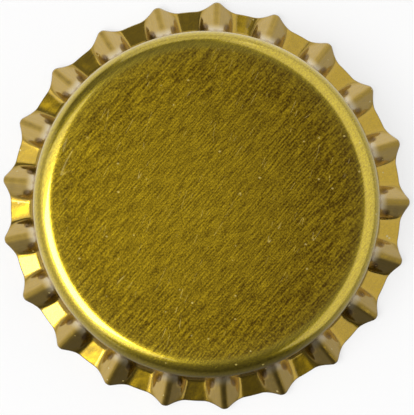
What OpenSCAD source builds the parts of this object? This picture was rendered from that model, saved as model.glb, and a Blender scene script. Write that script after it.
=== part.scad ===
// Uncrimped metal bottle cap with a fluted skirt of 21 teeth and a moulded sealing liner.
// Millimetres. +Z points up through the flat panel. The origin lies on the axis, in the
// plane that the cap stands on, and one tooth points along +X.

/* [Cap] */
// Inside diameter of the upright wall, which slips over the ring of the bottle
bore_d = 26.75; // [22:0.05:32]
// Overall height from the foot of the skirt to the top of the panel
cap_h = 6.0; // [5.4:0.05:8]
// Thickness of the steel sheet
sheet = 0.235; // [0.18:0.005:0.28]
// Outside radius of the corner between the panel and the wall
corner_r = 1.6; // [1.2:0.05:1.9]

/* [Skirt] */
// How far the valleys stand out from the wall at the rim
flare = 1.7; // [1.4:0.05:2]
// Lean of the valleys away from upright, in degrees
valley_lean = 65.5; // [62:0.5:68]
// Outside radius of the bend between the wall and the valleys
bend_r = 0.5; // [0.3:0.05:0.8]
// How far the tips of the teeth stand above the feet of the valleys
tip_rise = 0.51; // [0.4:0.01:0.6]

/* [Teeth] */
// Number of teeth round the skirt
teeth = 21; // [15:1:22]
// How far the tips of the teeth stand out from the valleys at the rim
tooth_depth = 0.74; // [0.66:0.01:0.9]
// Lean of a tooth's crest away from upright, in degrees
crest_lean = 43.5; // [41:0.5:46]
// Outside radius of the crest of a tooth
crest_r = 0.55; // [0.45:0.01:0.65]
// Angle between the middle plane of a tooth and its upper flank, in degrees
flank_a = 48.5; // [46:0.5:52]
// Width of a tooth at the foot of its sides
tooth_w = 2.9; // [2.6:0.05:3]
// Angle between the middle plane of a tooth and its side, in degrees
side_a = 22; // [18:0.5:26]
// Height of the low swell between a tooth and its valleys
swell_h = 0.2; // [0.14:0.01:0.22]
// Radius across that swell
swell_r = 5; // [4:0.1:6]

/* [Liner] */
// Thickness of the liner's web
web_t = 0.25; // [0.15:0.05:0.4]
// Distance from the wall to the middle of the sealing bead
bead_inset = 1.475; // [1.3:0.025:2]
// Depth of the sealing bead below the panel
bead_t = 0.9; // [0.7:0.05:1.1]
// Radius of the rounded face of the sealing bead
bead_r = 1.1; // [0.8:0.05:1.2]
// Distance from the wall to the middle of the inner lip
lip_inset = 4.075; // [3.5:0.025:6]
// Depth of the inner lip below the panel
lip_t = 0.5; // [0.45:0.05:0.7]
// Radius of the rounded face of the inner lip
lip_r = 0.45; // [0.35:0.05:0.6]
// Gap between the liner's free edge and the steel corner
liner_gap = 0.05; // [0.03:0.01:0.15]

/* [Hidden] */

// Facets of a full circle
$fn = 180;
// How far a cutter or a hidden end runs past the surface that it serves
overrun = 1;

// Wall and corner
bore_r = bore_d / 2;
wall_r = bore_r + sheet;
corner_x = wall_r - corner_r;
corner_z = cap_h - corner_r;

// Rim: cut along a cone through the feet of the valleys and the tips of the teeth. Its
// inner edge stands on z = 0 in the valleys
rim_a = atan(tip_rise / tooth_depth);
rim_across = sheet / cos(valley_lean - rim_a);
valley_r = wall_r + flare;
valley_z = rim_across * sin(rim_a);
tip_r = valley_r + tooth_depth;
tip_z = valley_z + tip_rise;
// Height at which the line of the valley meets the upright wall
bend_z = valley_z + flare / tan(valley_lean);
// Lengths of a crest and of a valley from the rim to where both end inside the cup
crest_len = (corner_z - tip_z) / cos(crest_lean);
valley_len = (valley_r - corner_x) / sin(valley_lean);
// Depth to which the section of a tooth runs down from its crest
tooth_h = 3;

// Every shape below with a depth is the solid inside one face of the sheet: the outer face
// at depth 0, the inner face at depth sheet.

// Section of the skirt's valleys, with the bend into the wall
module skirt_section(depth) {
    lean = [sin(valley_lean), -cos(valley_lean)];
    radius = bend_r + depth;
    tangent = radius * tan(valley_lean / 2);
    corner = [wall_r - depth, bend_z - depth * tan(valley_lean / 2)];
    end = corner + (flare / sin(valley_lean) + overrun) * lean;
    difference() {
        polygon([
            [0, corner.y + tangent],
            corner + [0, tangent],
            corner + tangent * lean,
            end,
            [end.x, -overrun - depth],
            [0, -overrun - depth]]);
        translate(corner + [radius, tangent]) circle(radius);
    }
}

// Panel, corner, upright wall and valleys
module cup(depth) {
    rotate_extrude() {
        square([corner_x, cap_h - depth]);
        square([wall_r - depth, corner_z]);
        translate([corner_x, corner_z]) circle(corner_r - depth);
        skirt_section(depth);
    }
}

// Section across the crest: round crest and straight upper flanks. x = 0 is the crest
module crest_section(depth) {
    normal = [sin(flank_a), cos(flank_a)];
    along = [-cos(flank_a), sin(flank_a)];
    touch = [-crest_r, 0] + (crest_r - depth) * normal;
    end = touch + tooth_h * along;
    translate([-crest_r, 0]) circle(crest_r - depth);
    polygon([
        [-crest_r, 0], touch, end, [end.x, -end.y], [touch.x, -touch.y]]);
}

// Section across the two sides of a tooth. x = 0 is the valley
module side_section(depth) {
    half = tooth_w / 2 - depth / cos(side_a);
    foot = half + overrun * tan(side_a);
    polygon([[-overrun, -foot], [half / tan(side_a), 0], [-overrun, foot]]);
}

// Section across the low swell at the foot of a tooth. x = 0 is the valley
module swell_section(depth) {
    intersection() {
        translate([swell_h - swell_r, 0]) circle(swell_r - depth);
        translate([-overrun, -0.4 * swell_r]) square([2 * overrun, 0.8 * swell_r]);
    }
}

// Places an extrusion along a crest, and one along a valley
module along_crest(depth)
    translate([tip_r, 0, tip_z])
        rotate([0, -crest_lean, 0])
            translate([0, 0, -overrun])
                linear_extrude(crest_len + overrun - depth) children();
module along_valley(depth)
    translate([valley_r, 0, valley_z])
        rotate([0, -valley_lean, 0])
            translate([0, 0, -overrun])
                linear_extrude(valley_len + overrun - depth) children();

// One tooth, from below the rim up to its closed end inside the corner
module tooth(depth) {
    intersection() {
        along_crest(depth) crest_section(depth);
        along_valley(depth) side_section(depth);
    }
    along_valley(depth) swell_section(depth);
}

module formed(depth) {
    cup(depth);
    for (i = [0 : teeth - 1]) rotate(i * 360 / teeth) tooth(depth);
}

// Space below the rim
module rim_cut() {
    across = [cos(rim_a), sin(rim_a)];
    foot = [valley_r, valley_z];
    rotate_extrude()
        polygon([
            foot - 2 * overrun * across,
            foot + 3 * overrun * across,
            foot + [3 * overrun, -3 * overrun],
            foot + [-2 * overrun, -3 * overrun]]);
}

// Steel shell, pressed from one round blank
module cap_shell() {
    color([0.55, 0.46, 0.1])
        difference() {
            formed(0);
            formed(sheet);
            rim_cut();
        }
}

// Liner moulded under the panel: a thin web, a sealing bead at the corner and an inner lip
module sealing_liner() {
    seat_z = cap_h - sheet;
    color([0.86, 0.87, 0.86])
        rotate_extrude()
            intersection() {
                union() {
                    translate([0, seat_z - web_t]) square([wall_r, web_t]);
                    translate([bore_r - bead_inset, seat_z - bead_t + bead_r]) circle(bead_r);
                    translate([bore_r - lip_inset, seat_z - lip_t + lip_r]) circle(lip_r);
                }
                union() {
                    square([corner_x, seat_z]);
                    translate([corner_x, corner_z]) circle(corner_r - sheet - liner_gap);
                }
            }
}

cap_shell();
sealing_liner();
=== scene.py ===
import math

import bpy
import numpy as np
from mathutils import Matrix, Vector


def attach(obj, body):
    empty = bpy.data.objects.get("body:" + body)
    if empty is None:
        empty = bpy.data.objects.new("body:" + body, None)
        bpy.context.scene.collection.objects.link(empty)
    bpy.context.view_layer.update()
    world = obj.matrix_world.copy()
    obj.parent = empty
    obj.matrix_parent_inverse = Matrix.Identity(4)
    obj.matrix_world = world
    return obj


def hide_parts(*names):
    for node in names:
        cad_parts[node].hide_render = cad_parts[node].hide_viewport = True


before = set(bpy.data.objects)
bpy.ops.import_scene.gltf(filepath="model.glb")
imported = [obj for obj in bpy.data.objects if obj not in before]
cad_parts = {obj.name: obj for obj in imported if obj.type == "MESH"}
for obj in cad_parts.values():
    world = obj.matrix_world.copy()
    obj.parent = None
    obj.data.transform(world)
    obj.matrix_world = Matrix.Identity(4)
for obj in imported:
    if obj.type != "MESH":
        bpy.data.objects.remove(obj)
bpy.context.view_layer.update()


# ---- Pressed shell -------------------------------------------------------
# The cap itself: a disc of gold lacquered tinplate a quarter of a millimetre
# thick, drawn to a shallow cup and fluted in one stroke of the press.
# The panel, the round corner, the short wall and the 21 teeth are one skin.

MM = 0.001

PANEL_Z = 5.90           # height of the panel's outer face at its edge
CROWN = 0.10             # how far the middle of the panel stands above that
SHEET = 0.235            # thickness of the tinplate
CORNER = 1.6             # outer radius between panel and wall
CORNER_X = 12.01         # where the corner leaves the panel
CORNER_Z = 4.4           # height of the corner's centre line
WALL_R = CORNER_X + CORNER           # outer radius of the upright wall
VALLEY_R, VALLEY_Z = 15.34, 0.155    # foot of a valley, on the outer face
TIP_R, TIP_Z = 16.05, 0.665          # tip of a tooth
VALLEY_LEAN, CREST_LEAN = 65.5, 43.5 # their lean away from upright, in degrees
VALLEY_SLOPE = 1 / math.tan(math.radians(VALLEY_LEAN))
CREST_SLOPE = 1 / math.tan(math.radians(CREST_LEAN))
RIM_SLOPE = (TIP_Z - VALLEY_Z) / (TIP_R - VALLEY_R)
VALLEY_BEND, CREST_BEND = 0.53, 2.8  # radii of the bends out of the wall
TEETH = 21
CREST = 0.38             # radius of a crest's round top, in an upright cut across it
FLANK = 1.286            # fall of the upper flanks for each millimetre sideways
SIDE = 4.0               # fall of the steep sides below them
HALF = 1.27              # half the width of a tooth at its foot
SHOULDER = 0.5           # reach of the fillet between flank and side
ROOT = 0.30              # reach of the fillet between tooth and valley
SWELL, SWELL_R = 0.24, 4.6           # low swell at the foot of a tooth
SWELL_EDGE = 0.04        # reach of the fillet along the swell
DIMPLE = 0.16            # depth of the two dimples beside a neck
DIMPLE_SIDE, DIMPLE_R = 0.88, 13.98  # middle of a dimple: off the tooth, off the axis
DIMPLE_WIDE, DIMPLE_LONG = 0.24, 0.38    # half its width and half its length
COLUMNS = 40             # of the mesh, to a tooth
CORNER_ROWS, WALL_ROWS, SKIRT_ROWS = 15, 10, 44


def smooth_max(a, b, k):
    """The larger of a and b, with the crease between them filleted: within k of
    each other their larger value is raised by (k - |a - b|) squared over 4k."""
    return np.maximum(a, b) + np.maximum(k - np.abs(a - b), 0) ** 2 / (4 * k)


def fade(value, zero, width):
    """0 up to zero and 1 from a width beyond it, even between; a width below 0
    turns it round."""
    return np.clip((value - zero) / width, 0, 1)


def out_from_wall(r, foot_r, foot_z, slope, bend):
    """Height of a line that rises inward to the wall at a slope, and turns up
    into the wall along an arc of radius bend that touches them both."""
    lean = math.atan(slope)
    touch = WALL_R + bend * (1 - math.sin(lean))
    middle = foot_z + (foot_r - touch) * slope + bend * math.cos(lean)
    inside = np.clip(WALL_R + bend - r, 0, bend)
    arc = middle - np.sqrt(bend ** 2 - inside ** 2)
    return np.where(r < touch, arc, foot_z + (foot_r - r) * slope)


def dimple(r, side):
    """1 in the middle of the dimple beside a tooth's neck, falling to 0 across
    the edge of an oval: the exponential of a steep power of its distance."""
    oval = ((side - DIMPLE_SIDE) / DIMPLE_WIDE) ** 2 + ((r - DIMPLE_R) / DIMPLE_LONG) ** 2
    return np.exp(-np.minimum(oval, 9) ** 2.5) * fade(r, WALL_R, 0.05)


def skirt_height(r, turn):
    """Height of the skirt's outer face at radius r, turn radians round from the
    middle of a tooth. A tooth is its crest line less a round crest and straight
    flanks, held inside two steep sides; a low swell and a fillet join it to the
    valley, a cone that the wall turns out into."""
    side = np.abs(r * np.sin(turn))
    reach = CREST * math.sin(math.atan(FLANK))
    near = np.minimum(side, reach)
    fall = CREST - np.sqrt(CREST ** 2 - near ** 2) + FLANK * np.maximum(side - reach, 0)
    crest = out_from_wall(r, TIP_R, TIP_Z, CREST_SLOPE, CREST_BEND) - fall
    cone = VALLEY_Z + (VALLEY_R - r) * VALLEY_SLOPE
    tooth = -smooth_max(-crest, -(cone + SIDE * (HALF - side)), SHOULDER)
    valley = out_from_wall(r, VALLEY_R, VALLEY_Z, VALLEY_SLOPE, VALLEY_BEND)
    valley = smooth_max(valley, cone + SWELL - side ** 2 / (2 * SWELL_R), SWELL_EDGE)
    return smooth_max(valley, tooth, ROOT) - DIMPLE * dimple(r, side)


def rim_radius(turn):
    """Radius at which the skirt is cut off along the cone through the valleys'
    feet and the teeth's tips, found by halving the distance 30 times."""
    low, high = np.full_like(turn, VALLEY_R - 0.5), np.full_like(turn, TIP_R + 0.5)
    for _ in range(30):
        r = (low + high) / 2
        above = skirt_height(r, turn) > VALLEY_Z + (r - VALLEY_R) * RIM_SLOPE
        low, high = np.where(above, r, low), np.where(above, high, r)
    return (low + high) / 2


def normals(points):
    """Outward unit normals of a grid of points that closes on itself along its
    second axis: the cross product of the differences down and round."""
    down = np.gradient(points, axis=0)
    around = np.roll(points, -1, axis=1) - np.roll(points, 1, axis=1)
    n = np.cross(down, around)
    return n / np.linalg.norm(n, axis=2, keepdims=True)


def shell_columns():
    """The angles of the columns, and for each its turn from its own tooth. They
    stand twice as close at the crests as in the valleys."""
    t = (np.arange(COLUMNS) + 0.5) / (COLUMNS / 2) - 1
    turn = math.pi / TEETH * (0.75 * t + 0.25 * t ** 3)
    middle = np.arange(TEETH) * 2 * math.pi / TEETH
    return (middle[:, None] + turn).ravel(), np.tile(turn, TEETH)


def shell_outside():
    """Outer face of the shell as a grid: rings of the panel, an arc of the
    corner, rows down the wall to the skirt, then rows out to the rim, closest
    together in the bend."""
    angle, turn = shell_columns()
    panel_r = np.array([2.0, 5.0, 8.0, 10.5])
    arc = np.linspace(0, math.pi / 2, CORNER_ROWS)
    top_r = np.concatenate([panel_r, CORNER_X + CORNER * np.sin(arc)])
    top_z = np.concatenate([
        PANEL_Z + CROWN * (1 - (panel_r / CORNER_X) ** 2),
        CORNER_Z + (PANEL_Z - CORNER_Z) * np.cos(arc),
    ])
    start = skirt_height(np.full_like(turn, WALL_R), turn)
    down = np.linspace(0, 1, WALL_ROWS + 1)[1:, None]
    wall_z = CORNER_Z + (start - CORNER_Z) * down
    out = np.linspace(0, 1, SKIRT_ROWS + 1)[1:, None] ** 1.6
    skirt_r = WALL_R + (rim_radius(turn) - WALL_R) * out
    level_row = np.ones_like(turn)
    r = np.concatenate([np.outer(top_r, level_row), np.full_like(wall_z, WALL_R), skirt_r])
    z = np.concatenate([np.outer(top_z, level_row), wall_z, skirt_height(skirt_r, turn)])
    return np.stack([r * np.cos(angle), r * np.sin(angle), z], axis=2)


def ring_faces(rows, columns, start=0, flip=False):
    """Quads of a grid of rows by columns that closes on itself along a row."""
    a = start + np.arange(rows - 1)[:, None] * columns + np.arange(columns)
    b = start + np.arange(rows - 1)[:, None] * columns + (np.arange(columns) + 1) % columns
    quads = np.stack([a, a + columns, b + columns, b], axis=2).reshape(-1, 4)
    return quads[:, ::-1] if flip else quads


def add_mesh(name, points, quads, fans):
    """Puts points, quads and fans of triangles into a new object at the origin."""
    mesh = bpy.data.meshes.new(name)
    faces = [tuple(q) for q in quads.tolist()] + [tuple(t) for t in fans.tolist()]
    mesh.from_pydata((points * MM).tolist(), [], faces)
    mesh.polygons.foreach_set("use_smooth", np.ones(len(faces), bool))
    mesh.validate()
    mesh.update()
    piece = bpy.data.objects.new(name, mesh)
    bpy.context.scene.collection.objects.link(piece)
    return piece


# The inner face is the outer one moved in by the sheet's thickness, with every
# second row left out and its foot held on the plane that the cap stands on
outer = shell_outside()
keep = np.r_[0:len(outer) - 1:2, len(outer) - 1]
inner = (outer - SHEET * normals(outer))[keep]
inner[..., 2] = np.maximum(inner[..., 2], 0)
columns = outer.shape[1]
points = np.concatenate([
    outer.reshape(-1, 3),
    inner.reshape(-1, 3),
    [[0, 0, PANEL_Z + CROWN], [0, 0, PANEL_Z + CROWN - SHEET]],
])
first_inner = outer.shape[0] * columns
rim_out = (outer.shape[0] - 1) * columns
rim_in = first_inner + (inner.shape[0] - 1) * columns
pole_out, pole_in = len(points) - 2, len(points) - 1
a = np.arange(columns)
b = (a + 1) % columns
quads = np.concatenate([
    ring_faces(outer.shape[0], columns),
    ring_faces(inner.shape[0], columns, first_inner, flip=True),
    np.stack([rim_out + a, rim_in + a, rim_in + b, rim_out + b], axis=1),
])
fans = np.concatenate([
    np.stack([np.full(columns, pole_out), a, b], axis=1),
    np.stack([np.full(columns, pole_in), first_inner + b, first_inner + a], axis=1),
])
shell = add_mesh("pressed_shell", points, quads, fans)

# Masks for the lacquer's colour, each from 0 to 1: painted shade over a tooth and
# in a dimple, level on the panel, on the skirt, and a painted highlight at a tooth's neck
r = np.hypot(points[:, 0], points[:, 1])
angle = np.arctan2(points[:, 1], points[:, 0])
turn = (angle + math.pi / TEETH) % (2 * math.pi / TEETH) - math.pi / TEETH
side = np.abs(r * np.sin(turn))
ridge = np.exp(-(side / 0.35) ** 2)
tooth = fade(side, HALF + 0.4, -0.6) * fade(r, WALL_R, 0.15)
parts = {
    "tooth_shade": (1 - 0.3 * ridge) * tooth,
    "dimple_shade": dimple(r, side),
    "level": fade(r, 12.45, -0.6),
    "skirt": fade(r, 13.5, 0.15),
    "neck": fade(side, 0.66, -0.2) * fade(r, 14.25, -0.3) * fade(r, WALL_R, 0.1),
}
for name, values in parts.items():
    attribute = shell.data.attributes.new(name, "FLOAT", "POINT")
    attribute.data.foreach_set("value", values.astype(np.float32))


class Shade:
    """A socket in a node tree; sums and products of sockets add Math nodes."""

    def __init__(self, socket):
        self.socket = socket

    @staticmethod
    def node(tree, kind, settings=None, values=None, out=0):
        """One node: its settings first, then a number or a link for each socket."""
        made = tree.nodes.new(kind)
        for name, value in (settings or {}).items():
            if name == "stops":
                ramp = made.color_ramp.elements
                for i, (place, colour) in enumerate(value):
                    stop = ramp[i] if i < 2 else ramp.new(place)
                    stop.position, stop.color = place, colour
            else:
                setattr(made, name, value)
        for name, value in (values or {}).items():
            if isinstance(value, Shade):
                tree.links.new(made.inputs[name], value.socket)
            else:
                made.inputs[name].default_value = value
        return Shade(made.outputs[out])

    def math(self, operation, *others):
        """A Math node with this socket first."""
        values = dict(enumerate((self, *others)))
        return Shade.node(self.socket.id_data, "ShaderNodeMath", {"operation": operation}, values)

    def __add__(self, other):
        return self.math("ADD", other)

    def __sub__(self, other):
        return self.math("SUBTRACT", other)

    def __mul__(self, other):
        return self.math("MULTIPLY", other)

    def __rsub__(self, other):
        return (self * -1.0).math("ADD", other)

    __radd__ = __add__
    __rmul__ = __mul__


def new_material(name):
    """An empty node tree, and the material that it belongs to."""
    material = bpy.data.materials.new(name)
    material.use_nodes = True
    material.node_tree.nodes.clear()
    return material, material.node_tree


def finish(tree, surface, kind="ShaderNodeOutputMaterial"):
    """Links a surface to an output of its tree."""
    end = tree.nodes.new(kind)
    tree.links.new(end.inputs["Surface"], surface.socket)


def mix_colour(tree, share, first, second):
    """A colour between two colours, by a share from 0 to 1."""
    values = {0: share, 6: first, 7: second}
    return Shade.node(tree, "ShaderNodeMix", {"data_type": "RGBA"}, values, out=2)


def vector_math(tree, operation, values, out=0):
    """A Vector Math node."""
    return Shade.node(tree, "ShaderNodeVectorMath", {"operation": operation}, values, out)


def part_of(tree, vector, axis):
    """One coordinate of a vector."""
    return Shade.node(tree, "ShaderNodeSeparateXYZ", {}, {"Vector": vector}, axis)


def between(tree, value, zero, one, bottom=0.0, top=1.0):
    """A value mapped evenly, and held, from zero and one to bottom and top."""
    return Shade.node(tree, "ShaderNodeMapRange", {}, {
        "Value": value, "From Min": zero, "From Max": one, "To Min": bottom, "To Max": top})


def rolled(tree, place, angle, along, across, detail=0.0):
    """Noise pulled out along a direction in the sheet, its lengths in millimetres."""
    turned = Shade.node(tree, "ShaderNodeVectorRotate", {"rotation_type": "Z_AXIS"}, {
        "Vector": place, "Angle": math.radians(-angle)})
    drawn_out = vector_math(tree, "MULTIPLY", {
        0: turned, 1: (1000 / along, 1000 / across, 1000 / across)})
    return Shade.node(tree, "ShaderNodeTexNoise", {}, {
        "Vector": drawn_out, "Scale": 1.0, "Detail": detail, "Roughness": 0.6})


# Gold lacquer over tinplate
GOLD = (0.98, 0.67, 0.02, 1)             # where it shines most
CORNER_GOLD = (0.98, 0.76, 0.042, 1)     # the same on the corner and the wall
DEEP = (0.17, 0.09, 0.0, 1)              # where it shines least
# Painted shade: a duller, darker tan for the teeth
SHADED_TOOTH = (0.52, 0.335, 0.034, 1)        # on the teeth
# Painted highlight: a paler, greyer tone on the necks
NECK_SHEEN = (0.66, 0.50, 0.20, 1)        # on the necks
CHIPPED = (0.66, 0.54, 0.22, 1)          # in flecks and scratches
# Painted shade: the dark brown that the dimples beside the necks take
SHADED_DIMPLE = (0.17, 0.09, 0.02, 1)         # in the dimples

lacquer, tree = new_material("gold_lacquer")
place = Shade.node(tree, "ShaderNodeTexCoord", out="Object")
across = part_of(tree, place, "X")
down = part_of(tree, place, "Y")
reach = vector_math(tree, "LENGTH", {0: place}, "Value")
tooth_shade, dimple_shade, level, skirt, neck = (
    Shade.node(tree, "ShaderNodeAttribute", {"attribute_name": name}, out="Fac")
    for name in ("tooth_shade", "dimple_shade", "level", "skirt", "neck"))

# Rolling lines run slantwise over the whole sheet. Pressing has evened them out
# off the panel. Painted shade makes the panel a little darker outwards and
# towards +X, away from the lamps at the left
grain = rolled(tree, place, 47, 1.2, 0.115)
speck = rolled(tree, place, 10, 0.13, 0.13)
cloud = rolled(tree, place, 10, 0.50, 0.50, 2.0)
uneven = grain * 0.84 + speck * 0.90 + cloud * 0.08 - 0.915
# Painted shade on the panel: lighter in the middle and towards -X, darker outwards
panel_shade = (0.04 - reach * reach * 1350.0 - across * 12.5) * level
streak = uneven * (level * 0.65 + 0.35 - skirt * 0.23) + panel_shade - skirt * 0.18 + 0.515
turned = (1.0 - level) * (1.0 - skirt)
tone = mix_colour(tree, streak, DEEP, mix_colour(tree, turned, GOLD, CORNER_GOLD))

# The die leaves drag marks that run out along the teeth
drag = Shade.node(tree, "ShaderNodeCombineXYZ", {}, {
    "X": down.math("ARCTAN2", across) * 150.0, "Y": reach * 700.0})
drag = Shade.node(tree, "ShaderNodeTexNoise", {}, {
    "Vector": drag, "Scale": 1.0, "Detail": 1.0, "Roughness": 0.6})

# Chips lie about a millimetre apart, in a quarter of the places on the panel and
# half of those on the skirt. Scratches show only in patches
cells = vector_math(tree, "MULTIPLY", {0: place, 1: (900, 1100, 900)})
near = Shade.node(tree, "ShaderNodeTexVoronoi", {}, {"Vector": cells, "Scale": 1.0}, "Distance")
chance = Shade.node(tree, "ShaderNodeTexVoronoi", {}, {"Vector": cells, "Scale": 1.0}, "Color")
chosen = (part_of(tree, chance, "X") + skirt * 0.25).math("GREATER_THAN", 0.74)
fleck = between(tree, near, 0.11, 0.06) * chosen
lines = rolled(tree, place, 66, 7.0, 0.9)
hair = between(tree, (lines - 0.5).math("ABSOLUTE"), 0.008, 0.002)
patch = between(tree, rolled(tree, place, 0, 0.9, 0.9), 0.60, 0.66)
worn = fleck * (skirt * 0.3 + 0.5) + hair * patch * level * 0.4

# Painted shade: the teeth turn a darker, duller tan, kept lighter along each crest as a painted
# highlight, and streaked by the die's drag marks
tone = mix_colour(tree, tooth_shade * (1.8 - drag * 1.8), tone, SHADED_TOOTH)
# Painted highlight on each tooth's neck
tone = mix_colour(tree, neck * 0.8, tone, NECK_SHEEN)
tone = mix_colour(tree, worn, tone, CHIPPED)
# Painted shade: the dimples beside each neck go dark brown, and their coat is thinned
tone = mix_colour(tree, dimple_shade * 0.9, tone, SHADED_DIMPLE)
wave = rolled(tree, place, 0, 1.3, 1.3, 1.0)
bump = Shade.node(tree, "ShaderNodeBump", {}, {
    "Height": grain * 0.02 + wave * skirt * 1.3, "Strength": 1.0, "Distance": 0.00005})
finish(tree, Shade.node(tree, "ShaderNodeBsdfPrincipled", {}, {
    "Base Color": tone,
    "Metallic": 1.0 - worn,
    "Roughness": grain * 0.06 + 0.22,
    "Normal": bump,
    "Coat Weight": 0.95 - level * 0.7 - dimple_shade * 0.6 - skirt * 0.15,
    "Coat Roughness": 0.06,
    "Coat IOR": 1.6,
}))
shell.data.materials.append(lacquer)

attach(shell, "root")
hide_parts("cap_shell")


# ---- Sealing liner -------------------------------------------------------
# A disc of pale soft polymer, moulded in place under the panel: a thin web
# with a round bead near the wall and a low lip inside it, which seal the ring.

RING_GAP = 0.45          # between the faint rings that the mould leaves
MILK = (0.62, 0.645, 0.62, 1)            # where the polymer is thin
CREAM = (0.77, 0.785, 0.76, 1)           # where it is thick

polymer, tree = new_material("liner_polymer")
place = Shade.node(tree, "ShaderNodeTexCoord", out="Object")
flat = vector_math(tree, "MULTIPLY", {0: place, 1: (1000, 1000, 0)})
reach = vector_math(tree, "LENGTH", {0: flat}, "Value")
rings = (reach * (2 * math.pi / RING_GAP)).math("SINE")
cloud = rolled(tree, place, 0, 1.6, 1.6, 3.0)
pits = rolled(tree, place, 0, 0.16, 0.16, 1.0)
bump = Shade.node(tree, "ShaderNodeBump", {}, {
    "Height": rings * 0.3 + pits * 0.5 + cloud * 0.8, "Strength": 0.6, "Distance": 0.00004})
finish(tree, Shade.node(tree, "ShaderNodeBsdfPrincipled", {}, {
    "Base Color": mix_colour(tree, cloud * 2.4 - 0.7, MILK, CREAM),
    "Roughness": pits * 0.25 + 0.28,
    "Normal": bump,
    "Subsurface Weight": 0.15,
    "Subsurface Scale": 0.0006,
}))
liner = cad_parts["sealing_liner"]
liner.data.materials.clear()
liner.data.materials.append(polymer)


# ---- Floor, light and camera ---------------------------------------------
# Pale paper under the cap, a broad lamp with a bright core high at the left, a
# low one under it, a wide one at the right and a small one at the back, in a
# dim room. The camera looks almost straight down.

FLOOR_HALF = 4.0
FLOOR_Z = -0.00001       # just below the cap, clear of its foot
WHITE_SHARE = 0.72       # how much of the paper the camera sees as plain white

# The camera sees the paper partly as plain white, so the ground is white and
# still keeps the cap's shadow. The metal's reflections don't find the paper:
# below the horizon they find the world's table instead, which is dark in front.
floor_mesh = bpy.data.meshes.new("floor")
corners = [(-1, -1), (1, -1), (1, 1), (-1, 1)]
floor_mesh.from_pydata(
    [(x * FLOOR_HALF, y * FLOOR_HALF, FLOOR_Z) for x, y in corners], [], [(0, 1, 2, 3)])
floor = bpy.data.objects.new("floor", floor_mesh)
bpy.context.scene.collection.objects.link(floor)
paper, tree = new_material("pale_paper")
plain = Shade.node(tree, "ShaderNodeBsdfDiffuse", {}, {"Color": (0.76, 0.76, 0.76, 1)})
white = Shade.node(tree, "ShaderNodeEmission", {}, {"Color": (1, 1, 1, 1), "Strength": 1.0})
seen = Shade.node(tree, "ShaderNodeLightPath", out="Is Camera Ray") * WHITE_SHARE
finish(tree, Shade.node(tree, "ShaderNodeMixShader", {}, {0: seen, 1: plain, 2: white}))
floor_mesh.materials.append(paper)
floor.visible_glossy = False


def soft_box(name, azimuth, elevation, distance, width, height, radiance):
    """A soft lamp with straight sides that faces the cap, its power worked out
    from how bright its surface looks."""
    data = bpy.data.lights.new(name, "AREA")
    data.shape = "RECTANGLE"
    data.size, data.size_y = width, height
    data.energy = radiance * math.pi * width * height
    lamp = bpy.data.objects.new(name, data)
    a, e = math.radians(azimuth), math.radians(elevation)
    out = Vector((math.cos(a) * math.cos(e), math.sin(a) * math.cos(e), math.sin(e)))
    lamp.location = out * distance
    lamp.rotation_mode = "QUATERNION"
    lamp.rotation_quaternion = out.to_track_quat("Z", "Y")
    lamp.visible_camera = False
    bpy.context.scene.collection.objects.link(lamp)


# Azimuth and elevation in degrees, then distance, width and height in metres
soft_box("left_wide", 194, 47, 0.50, 0.70, 0.50, 1.15)
soft_box("left_core", 203, 54, 0.50, 0.31, 0.27, 7.2)
soft_box("left_low", 195, 10, 0.52, 1.00, 0.16, 0.5)
soft_box("right_box", 10, 31, 0.50, 1.90, 0.60, 0.80)
soft_box("back_box", 95, 11, 0.50, 0.42, 0.18, 0.7)

# Brightness by direction, from 180 degrees round from +X and on for a whole turn
TABLE = [
    (180, 0.92), (205, 0.92), (240, 0.30), (270, 0.14), (300, 0.12),
    (325, 0.42), (360, 0.55), (390, 0.62), (420, 0.92), (540, 0.92),
]
FRONT = [(180, 1.0), (238, 1.0), (255, 0.66), (280, 0.46), (302, 0.46), (322, 1.0), (540, 1.0)]
HORIZON, ZENITH = (0.08, 0.08, 0.08, 1), (0.275, 0.275, 0.275, 1)

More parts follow.
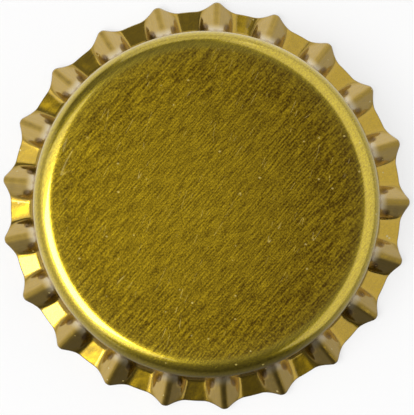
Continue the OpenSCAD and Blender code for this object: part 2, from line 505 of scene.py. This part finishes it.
world = bpy.data.worlds.new("room")
bpy.context.scene.world = world
world.use_nodes = True
tree = world.node_tree
tree.nodes.clear()
way = Shade.node(tree, "ShaderNodeTexCoord", out="Generated")
height = part_of(tree, way, "Z")
heading = part_of(tree, way, "Y").math("ARCTAN2", part_of(tree, way, "X"))
heading = heading * (0.5 / math.pi) + 0.5
table, front = (
    Shade.node(tree, "ShaderNodeValToRGB", {"stops": [
        ((degrees - 180) / 360, (grey, grey, grey, 1)) for degrees, grey in ring
    ]}, {"Fac": heading})
    for ring in (TABLE, FRONT))

# The table is dimmer towards the horizon, and the sky over its dark side too,
# but not straight above
far = between(tree, height, 0.0, -0.3, 0.6, 1.0)
table = vector_math(tree, "SCALE", {0: table, "Scale": far})
front = mix_colour(tree, between(tree, height, 0.92, 0.70), (1, 1, 1, 1), front)
sky = Shade.node(tree, "ShaderNodeValToRGB", {
    "stops": [(0.0, HORIZON), (1.0, ZENITH)]}, {"Fac": height})
sky = vector_math(tree, "MULTIPLY", {0: sky, 1: front})
room = mix_colour(tree, between(tree, height, -0.02, 0.03), table, sky)
glow = Shade.node(tree, "ShaderNodeBackground", {}, {"Color": room, "Strength": 1.0})
finish(tree, glow, "ShaderNodeOutputWorld")

TILT, AZIMUTH, ROLL = math.radians(2.19), math.radians(-111.6), math.radians(-1.07)
DISTANCE = 1.0
AIM = Vector((0.0001, -0.0001, 0))
PIXELS_PER_MM = 12.704   # at the floor
FRAME_PIXELS = 415       # along the picture's longer side
SENSOR = 36              # millimetres, which the lens is reckoned by

camera_data = bpy.data.cameras.new("camera")
camera_data.lens = PIXELS_PER_MM / MM * DISTANCE / FRAME_PIXELS * SENSOR
camera_data.clip_end = 20
camera = bpy.data.objects.new("camera", camera_data)
back = Vector((
    math.sin(TILT) * math.cos(AZIMUTH), math.sin(TILT) * math.sin(AZIMUTH), math.cos(TILT)))
right = Vector((math.cos(ROLL), math.sin(ROLL), 0))
right = (right - right.dot(back) * back).normalized()
up = back.cross(right)
camera.matrix_world = Matrix((
    (right.x, up.x, back.x, 0),
    (right.y, up.y, back.y, 0),
    (right.z, up.z, back.z, 0),
    (0, 0, 0, 1),
))
camera.location = back * DISTANCE + AIM
bpy.context.scene.collection.objects.link(camera)
bpy.context.scene.camera = camera
bpy.context.scene.view_settings.view_transform = "Standard"
